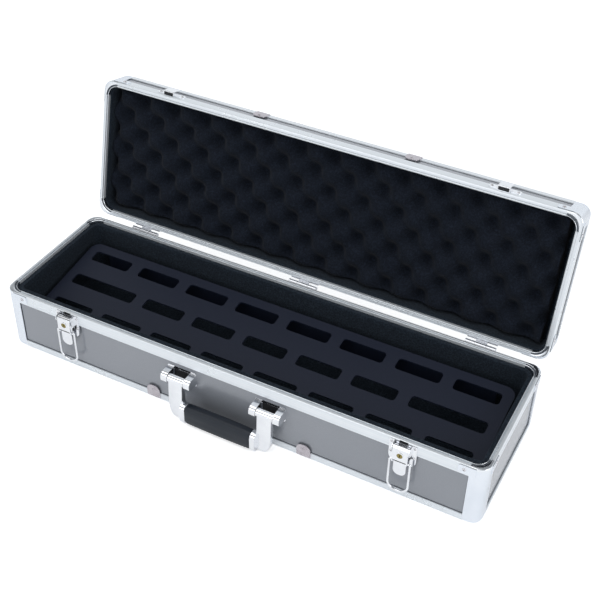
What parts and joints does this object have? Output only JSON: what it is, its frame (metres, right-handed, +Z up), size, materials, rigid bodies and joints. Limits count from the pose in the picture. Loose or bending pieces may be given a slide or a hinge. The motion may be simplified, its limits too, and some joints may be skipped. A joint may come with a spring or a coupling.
{
  "type": "guitar pedal case",
  "caption": "Long framed case with a shallow hinged lid, draw latches and a folding handle, holding an inclined slotted board for guitar effect pedals.",
  "frame": {"origin": "centre of the flat underside of the base", "axes": "+X along the case's length, towards the right latch; -Y towards the front with handle and latches; +Z up. The lid stands open as it is at rest."},
  "size_m": [0.6016, 0.2844, 0.2569],
  "materials": {
    "satin_grey_panel": "satin metallic grey laminate",
    "bright_aluminium": "bright anodised, fine lengthwise lines",
    "polished_metal": "bright plated",
    "zinc_steel": "plated steel",
    "brass_plug": "machined",
    "black_rubber": "matt, soft",
    "black_lining": "short black pile",
    "black_foam": "open-cell convoluted foam",
    "black_powder_coat": "fine satin powder coat"
  },
  "bodies": {
    "base": {"base_back_panel": "satin_grey_panel", "base_corner_posts": "polished_metal", "base_edge_clips": "polished_metal", "base_edge_profiles": "bright_aluminium", "base_floor_lining": "black_lining", "base_floor_panel": "satin_grey_panel", "base_front_panel": "satin_grey_panel", "base_left_panel": "satin_grey_panel", "base_right_panel": "satin_grey_panel", "base_rim_corners": "polished_metal", "base_rim_profiles": "bright_aluminium", "base_wall_linings": "black_lining", "handle_brackets": "polished_metal", "handle_pins": "zinc_steel", "hinge_base_leaves": "zinc_steel", "hinge_pins": "zinc_steel", "latch_pins": "zinc_steel", "latch_plates": "polished_metal"},
    "lid": {"hinge_lid_leaves": "zinc_steel", "latch_strikes": "polished_metal", "lid_back_panel": "satin_grey_panel", "lid_corner_posts": "polished_metal", "lid_edge_clips": "polished_metal", "lid_edge_profiles": "bright_aluminium", "lid_foam": "black_foam", "lid_front_panel": "satin_grey_panel", "lid_left_panel": "satin_grey_panel", "lid_right_panel": "satin_grey_panel", "lid_rim_corners": "polished_metal", "lid_rim_profiles": "bright_aluminium", "lid_top_panel": "satin_grey_panel", "lid_wall_pads": "black_lining"},
    "handle": {"handle_arms": "polished_metal", "handle_grip": "black_rubber"},
    "board": {"board_deck": "black_powder_coat", "board_front_leg": "black_powder_coat", "board_pads": "black_rubber", "board_rear_leg": "black_powder_coat"},
    "left_lever": {"left_latch_lever": "polished_metal", "left_lock_barrel": "polished_metal"},
    "left_key": {"left_key_plug": "brass_plug"},
    "left_bail": {"left_latch_bail": "zinc_steel"},
    "right_lever": {"right_latch_lever": "polished_metal", "right_lock_barrel": "polished_metal"},
    "right_key": {"right_key_plug": "brass_plug"},
    "right_bail": {"right_latch_bail": "zinc_steel"}
  },
  "joints": [
    {"name": "lid_hinge", "type": "hinge", "parent": "base", "child": "lid", "pos_m": [0, 0.0924, 0.0781], "axis": [-1, 0, 0], "range_deg": [-103.4, 0]},
    {"name": "handle_fold", "type": "hinge", "parent": "base", "child": "handle", "pos_m": [0, -0.0985, 0.055], "axis": [-1, 0, 0], "range_deg": [0, 90]},
    {"name": "board_lift", "type": "slide", "parent": "base", "child": "board", "axis": [0, 0, 1], "range_m": [0, 0.08]},
    {"name": "left_latch", "type": "hinge", "parent": "base", "child": "left_lever", "pos_m": [-0.21, -0.0928, 0.076], "axis": [-1, 0, 0], "range_deg": [0, 100]},
    {"name": "left_bail_swing", "type": "hinge", "parent": "left_lever", "child": "left_bail", "pos_m": [-0.21, -0.0939, 0.059], "axis": [1, 0, 0], "range_deg": [-184.4, 0]},
    {"name": "left_key_turn", "type": "hinge", "parent": "left_lever", "child": "left_key", "pos_m": [-0.21, -0.0965, 0.0693], "axis": [0, -1, 0], "range_deg": [0, 90]},
    {"name": "right_latch", "type": "hinge", "parent": "base", "child": "right_lever", "pos_m": [0.21, -0.0928, 0.076], "axis": [-1, 0, 0], "range_deg": [0, 100]},
    {"name": "right_bail_swing", "type": "hinge", "parent": "right_lever", "child": "right_bail", "pos_m": [0.21, -0.0939, 0.059], "axis": [1, 0, 0], "range_deg": [-184.4, 0]},
    {"name": "right_key_turn", "type": "hinge", "parent": "right_lever", "child": "right_key", "pos_m": [0.21, -0.0965, 0.0693], "axis": [0, -1, 0], "range_deg": [0, 90]}
  ]
}
